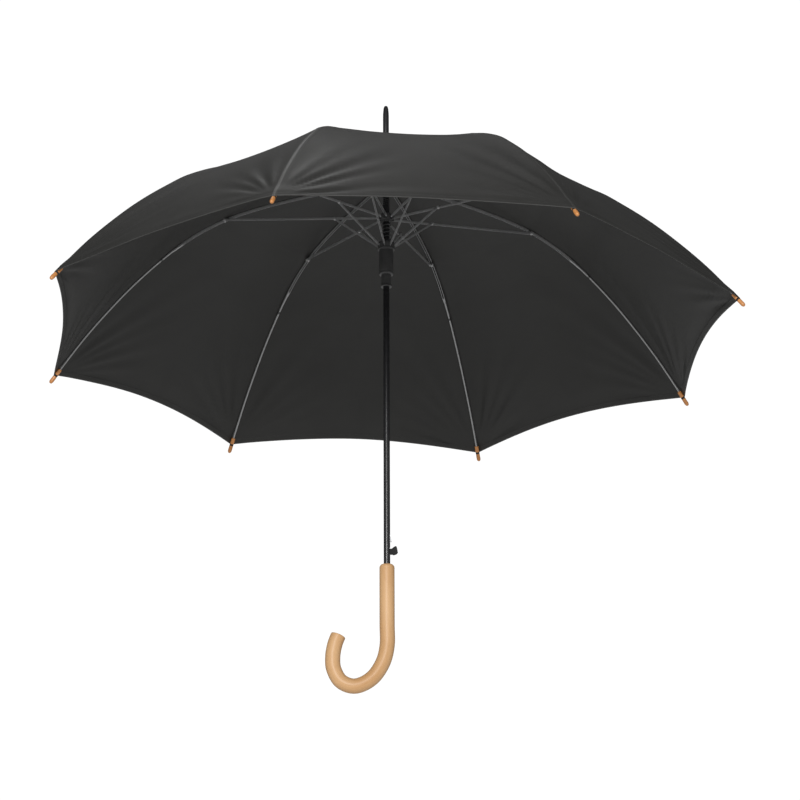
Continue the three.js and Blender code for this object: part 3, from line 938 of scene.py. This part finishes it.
def tip_shells():
    """A turned bead, and the thread round its waist that holds the cloth's corner. Its axis is +Z."""
    wooden, thread = Shells(), Shells()
    bore = ROD_RADIUS + 0.3
    profile = [(bore, -12), (2.45, -12), (2.95, -10.8), (3.0, -3.2), (2.55, -2.2), (2.5, 0.2), (2.9, 1.2),
               (3.0, 8.6), (2.75, 10.6), (2.1, 12.1), (1.0, 12.9), (0.25, 13.0), (0.25, 2.0), (bore, 2.0)]
    lathe(wooden, rounded(profile, 0.35), 28)
    for i in range(5):
        wire_ring(thread, 2.62 + 0.1 * (i % 2), 0.3, -2.0 + 0.55 * i, 24)
    return wooden, thread


def hem_turn():
    """Turns an upright piece onto the rod's end, in the rib's plane."""
    _, tangents, _ = smooth_line(RIB_LINE, 400)
    out, up = tangents[-1]
    return Matrix.Translation((HEM[0] * MM, 0, HEM[1] * MM)) @ Matrix.Rotation(math.atan2(out, up), 4, "Y")


def tie_shells():
    """Two ties of thread that hold the cloth's seam to the rib."""
    shells = Shells()
    line, tangents, _ = smooth_line(RIB_LINE, 600)
    for share, reach in ((0.40, 2.35), (0.60, 1.95)):
        at = int(share * 599)
        for i in range(4):
            (x, z), (tx, tz) = line[at + i], tangents[at + i]
            loops = []
            for j in range(20):
                angle = 2 * math.pi * j / 20
                side, up = math.cos(angle), math.sin(angle)
                rises = [min(up * (reach + b), 1.6) for _, b in circle(0.22, 6)]
                loops.append([(x - tz * rise + tx * a, side * (reach - 0.25 + b), z + tx * rise + tz * a)
                              for rise, (a, b) in zip(rises, circle(0.22, 6))])
            corners = [c for loop in loops for c in loop]
            faces = [[m * 6 + n, m * 6 + (n + 1) % 6, (m + 1) % 20 * 6 + (n + 1) % 6, (m + 1) % 20 * 6 + n]
                     for m in range(20) for n in range(6)]
            shells.add(corners, faces)
    return shells


def make_frame_parts():
    rib, stretcher, link, ties = rib_shells(), stretcher_shells(), link_shells(), tie_shells()
    wooden, thread = tip_shells()
    turn_tip = hem_turn()
    for k in RIBS:
        made = rib.piece(f"rib_assembly_{k}", RIB_PAINT, "rib_steel", azimuth(k))
        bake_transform(made)
        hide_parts(f"rib_{k}", f"rib_rod_{k}")
        made = stretcher.piece(f"stretcher_bar_{k}", RIB_PAINT, "rib_steel", azimuth(k))
        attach(made, f"stretcher_{k}")
        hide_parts(f"stretcher_{k}")
        made = link.piece(f"link_bar_{k}", RIB_PAINT, "rib_steel", azimuth(k))
        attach(made, f"link_{k}")
        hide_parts(f"link_{k}")
        for name, shells, material, slot in (("tip_bead", wooden, TIP_WOOD, "tip_wood"),
                                             ("tip_thread", thread, THREAD, "canopy_cloth")):
            made = shells.piece(f"{name}_{k}", material, slot)
            made.data.transform(Matrix.Rotation(azimuth(k), 4, "Z") @ turn_tip)
            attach(made, f"rod_{k}")
            if name == "tip_bead":
                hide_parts(f"wooden_tip_{k}")
        made = ties.piece(f"rib_ties_{k}", THREAD, "canopy_cloth", azimuth(k))
        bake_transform(made)


# ---- Shaft, ferrule, cap, crown, runners, springs ----
def make_shaft():
    low, high = heights("shaft")
    shells = Shells()
    windowed_tube(shells, SHAFT_BORE, SHAFT_RADIUS, low, high, [(2.5, 78.4, 89.6), (1.5, 96.8, 108.5)])
    shaft = shells.piece("shaft_tube", SHAFT_PAINT, "black_steel")
    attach(shaft, "shaft")
    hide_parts("shaft")

    top = heights("ferrule")[1]
    shells = Shells()
    solid_lathe(shells, [
        (0, high - 18), (3.3, high - 18), (3.4, high + 0.3), (4.05, high + 0.3), (4.3, high + 0.8),
        (4.3, high + 3.2), (4.0, high + 3.7), (4.0, high + 4.6), (4.3, high + 5.1), (4.3, top - 15.5),
        (4.2, top - 13), (3.95, top - 9), (3.6, top - 5), (3.15, top - 2.6), (2.6, top - 1.1),
        (2.0, top - 0.35), (1.5, top), (0, top)])
    ferrule = shells.piece("ferrule_spike", GLOSSY, "black_gloss_plastic")
    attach(ferrule, "shaft")
    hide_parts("ferrule")

    low, _ = heights("canopy_cap")
    shells = Shells()
    lathe(shells, rounded([
        (CAP_BORE, low), (12.9, low), (13.4, low + 0.8), (13.1, low + 1.9), (12.2, low + 2.9),
        (10.2, low + 3.7), (9.9, low + 3.5), (9.5, low + 4.2), (8.0, low + 5.0), (6.6, low + 6.1),
        (6.2, low + 8.3), (CAP_BORE, low + 8.3)], 0.3))
    cap = shells.piece("cap_disc", GLOSSY, "black_gloss_plastic")
    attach(cap, "shaft")
    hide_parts("canopy_cap")


DISC_RADIUS = 11.6  # of the crown and the upper runner
SLOT_BOTTOM = 7.7


def notched(shells, core, teeth, half_slots):
    """A disc whose teeth stand between the ribs' slots."""
    lathe(shells, rounded(core, 0.3))
    inner = SLOT_BOTTOM - 0.4
    for k in RIBS:
        start = azimuth(k)
        profile = [(inner, teeth[0]), (DISC_RADIUS, teeth[0]), (DISC_RADIUS, teeth[1]), (inner, teeth[1])]
        tooth(shells, rounded(profile, 0.5), half_slots, start, start + SECTOR)


def make_crown_and_runners():
    low, high = heights("crown")
    shells = Shells()
    core = [(FIXED_BORE, low), (7.0, low), (SLOT_BOTTOM, low + 2.4), (SLOT_BOTTOM, high), (FIXED_BORE, high)]
    notched(shells, core, (low + 2.6, high), (1.9, 1.9))
    wire_ring(shells, CROWN_JOINT[0], PIVOT_WIRE, CROWN_JOINT[1])
    crown = shells.piece("crown_disc", NYLON, "black_plastic")
    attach(crown, "shaft")
    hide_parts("crown")

    low, high = heights("upper_runner")
    shells = Shells()
    core = [(RUNNING_BORE, low), (7.0, low), (7.2, low + 1.6), (SLOT_BOTTOM, low + 1.8),
            (SLOT_BOTTOM, low + 8.8), (7.2, low + 9.2), (7.1, high), (RUNNING_BORE, high)]
    notched(shells, core, (low + 1.6, low + 9.0), (4.4, 0.6))
    wire_ring(shells, 10.44, PIVOT_WIRE, UPPER_JOINT[1])
    upper = shells.piece("upper_runner_disc", NYLON, "black_plastic")
    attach(upper, "upper_runner")
    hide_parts("upper_runner")

    low, high = heights("lower_runner")
    shells = Shells()
    windowed_tube(shells, RUNNING_BORE, 7.15, low + 3.0, 498.2, [(1.9, 486.4, 496.2)])
    lathe(shells, rounded([
        (RUNNING_BORE, low), (7.7, low), (7.9, low + 0.5), (7.9, low + 1.5), (7.15, low + 3.05),
        (RUNNING_BORE, low + 3.05)], 0.25))
    flange = high - 11
    lathe(shells, rounded([
        (RUNNING_BORE, 498.0), (7.15, 498.0), (9.6, 498.5), (10.35, 499.6), (10.35, 502.2), (10.05, 502.7),
        (10.05, 503.5), (10.35, 504.0), (10.35, flange - 2.6), (10.0, flange - 2.0), (10.0, flange - 1.2),
        (10.35, flange - 0.6), (10.35, flange + 0.1), (8.2, flange + 0.1), (8.2, 503.0),
        (RUNNING_BORE, 503.0)], 0.3))
    lathe(shells, rounded([
        (8.2, flange), (12.0, flange), (12.25, flange + 0.6), (12.25, flange + 2.9), (8.9, flange + 3.1),
        (8.9, high), (8.2, high)], 0.3))
    profile = rounded([
        (8.6, flange + 2.8), (12.25, flange + 2.8), (12.25, high - 0.5), (11.9, high), (8.6, high)], 0.4)
    for k in RIBS:
        tooth(shells, profile, (1.9, 0.6), azimuth(k), azimuth(k) + SECTOR)
    wire_ring(shells, 10.03, PIVOT_WIRE, LOWER_JOINT[1])
    lower = shells.piece("lower_runner_barrel", NYLON, "black_plastic")
    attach(lower, "lower_runner")
    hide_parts("lower_runner")


def make_springs():
    low, high = heights("main_spring")
    shells = Shells()
    helix(shells, 6.95, 0.8, low, high, 14.5)
    spring = shells.piece("main_spring_coil", WIRE, "spring_steel")
    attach(spring, "lower_runner")
    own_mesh(spring)
    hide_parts("main_spring")

    low, high = heights("buffer_spring")
    shells = Shells()
    helix(shells, 5.25, 0.45, low, high, 14)
    spring = shells.piece("buffer_spring_coil", WIRE, "spring_steel")
    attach(spring, "shaft")
    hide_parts("buffer_spring")


# ---- Button and catch ----
def make_button():
    shells = Shells()
    outline = smooth_closed([(5.6, 86.6), (8.7, 89.6), (11.9, 91.5), (13.5, 90.8), (15.3, 81), (9.3, 78.4),
                             (6.4, 80.3)])
    plate(shells, outline, -2.2, 2.2, 0.7)
    # its stem, in the shaft's slot
    plate(shells, [(3.6, 79.6), (7.2, 79.6), (7.2, 87.6), (3.6, 87.6)], -2.0, 2.0)
    for i in range(4):
        height = 82.6 + 2.0 * i
        out = 15.15 - 0.17 * (height - 81)
        disc(shells, (out - 0.35, height), 0.62, -1.7, 1.7, 12, 0.3)
    button = shells.piece("button_lever", BUTTON_PAINT, "button_metal", sharp=40)
    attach(button, "release_button")
    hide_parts("release_button")

    shells = Shells()
    plate(shells, [(0, 72), (1, 72), (1, 118), (0, 118)], -1.2, 1.2, 0.15)
    barb = [(0.5, 97.9), (6.7, 97.9), (6.9, 98.2), (6.6, 99.6), (5.6, 102.9), (4.3, 105.8), (2.4, 106.8),
            (0.5, 107)]
    plate(shells, barb, -1, 1, 0.2)
    plate(shells, [(0.5, 83), (5.3, 83), (5.3, 86), (0.5, 86)], -1, 1, 0.15)
    catch = shells.piece("catch_spring", CATCH_STEEL, "spring_steel")
    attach(catch, "release_button")
    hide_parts("runner_catch")


def smooth_closed(points):
    """A closed outline with its corners rounded by Chaikin's rule."""
    points = np.array(points, float)
    for _ in range(2):
        after = np.roll(points, -1, axis=0)
        points = np.stack([points * 0.8 + after * 0.2, points * 0.2 + after * 0.8], axis=1).reshape(-1, 2)
    return [tuple(p) for p in points]


# ---- Handle ----
def make_handle():
    """A bent beech rod. Its grain follows the bend: each corner keeps its place in the unbent rod."""
    shells = Shells()
    line, tangents, length = smooth_line([(0, 40), *CROOK], 150)
    sides = 48
    loops, grain = [], []

    def ring(x, z, tx, tz, radius, run):
        loops.append([(x - tz * a, b, z + tx * a) for a, b in circle(radius, sides)])
        grain.extend([(a, b, run) for a, b in circle(radius, sides)])

    # the turned top, down to where the path starts
    for radius, z in ((FIXED_BORE, 20.5), (FIXED_BORE, HANDLE_TOP - 0.3), (5.0, HANDLE_TOP),
                      (7.4, HANDLE_TOP), (8.1, HANDLE_TOP - 0.25), (9.1, HANDLE_TOP - 1.0),
                      (9.9, HANDLE_TOP - 2.1), (10.3, HANDLE_TOP - 3.4), (HANDLE_RADIUS, HANDLE_TOP - 5),
                      (HANDLE_RADIUS, 50)):
        ring(0, z, 0, -1, radius, -z + 0.001 * radius)
    for i, ((x, z), (tx, tz)) in enumerate(zip(line[:-1], tangents[:-1])):
        ring(x, z, tx, tz, HANDLE_RADIUS, -40 + length * i / (len(line) - 1))
    (x, z), (tx, tz) = line[-1], tangents[-1]
    for radius, ahead in ((10.25, 0.35), (9.7, 0.75), (9.0, 0.9), (5.0, 1.0), (1.0, 1.03)):
        ring(x + tx * (ahead - 1), z + tz * (ahead - 1), tx, tz, radius, length - 40 + ahead)
    rings(shells, loops, grain)
    handle = shells.piece("handle_crook", BEECH, "pale_wood", sharp=50)
    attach(handle, "shaft")
    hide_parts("handle")


# ---- Stage ----
# how bright the surroundings are above and behind, and in front and below
BACK_GLOW, FRONT_GLOW = 0.07, 0.62
# each lamp's place, size in metres and power in watts
LAMPS = (("key", (-0.6, -4.4, 0.8), 1.6, 125), ("fill", (0.6, -3.8, -1.9), 1.8, 26),
         ("back", (0.8, 3.8, 2.2), 2.4, 12), ("satin", (-0.50, 0.75, 3.3), 1.1, 9.5))


def make_stage():
    scene = bpy.context.scene
    bpy.ops.mesh.primitive_plane_add(size=300, location=(0, 0, -8))
    floor = bpy.context.object
    floor.name = "floor"
    paint = Paint("floor", 0.9, specular=0.1)
    paint.set(Base_Color=(0.82, 0.82, 0.82, 1), Emission_Color=(1, 1, 1, 1), Emission_Strength=0.38)
    floor.data.materials.append(paint.material)

    world = bpy.data.worlds.new("studio")
    world.use_nodes = True
    scene.world = world
    nodes, links = world.node_tree.nodes, world.node_tree.links
    surround = nodes["Background"]
    way = nodes.new("ShaderNodeVectorMath")
    way.operation = "DOT_PRODUCT"
    way.inputs[1].default_value = (0, -0.80, -0.60)
    links.new(nodes.new("ShaderNodeTexCoord").outputs["Generated"], way.inputs[0])
    front = nodes.new("ShaderNodeMapRange")
    for socket, value in (("From Min", -0.35), ("From Max", 0.85), ("To Min", BACK_GLOW),
                          ("To Max", FRONT_GLOW)):
        front.inputs[socket].default_value = value
    links.new(way.outputs["Value"], front.inputs["Value"])
    links.new(front.outputs[0], surround.inputs["Strength"])
    surround.inputs["Color"].default_value = (1, 1, 1, 1)
    seen = nodes.new("ShaderNodeBackground")
    seen.inputs["Strength"].default_value = 1.05
    seen.inputs["Color"].default_value = (1, 1, 1, 1)
    path, choose = nodes.new("ShaderNodeLightPath"), nodes.new("ShaderNodeMixShader")
    links.new(path.outputs["Is Camera Ray"], choose.inputs[0])
    links.new(surround.outputs[0], choose.inputs[1])
    links.new(seen.outputs[0], choose.inputs[2])
    links.new(choose.outputs[0], nodes["World Output"].inputs["Surface"])

    for name, at, size, power in LAMPS:
        light = bpy.data.lights.new(name, "AREA")
        light.shape = "DISK"
        light.size = size
        light.energy = power
        lamp = bpy.data.objects.new(name, light)
        scene.collection.objects.link(lamp)
        lamp.visible_glossy = name in ("key", "satin")
        lamp.visible_diffuse = name != "satin"  # it only draws the cloth's satin shine
        aim = Vector((0, 0, 0.45)) - Vector(at)
        lamp.matrix_world = Matrix.Translation(at) @ aim.to_track_quat("-Z", "Y").to_matrix().to_4x4()
    scene.view_settings.view_transform = "Standard"


GORES = make_gores()
make_frame_parts()
make_shaft()
make_crown_and_runners()
make_springs()
make_button()
make_handle()
make_stage()
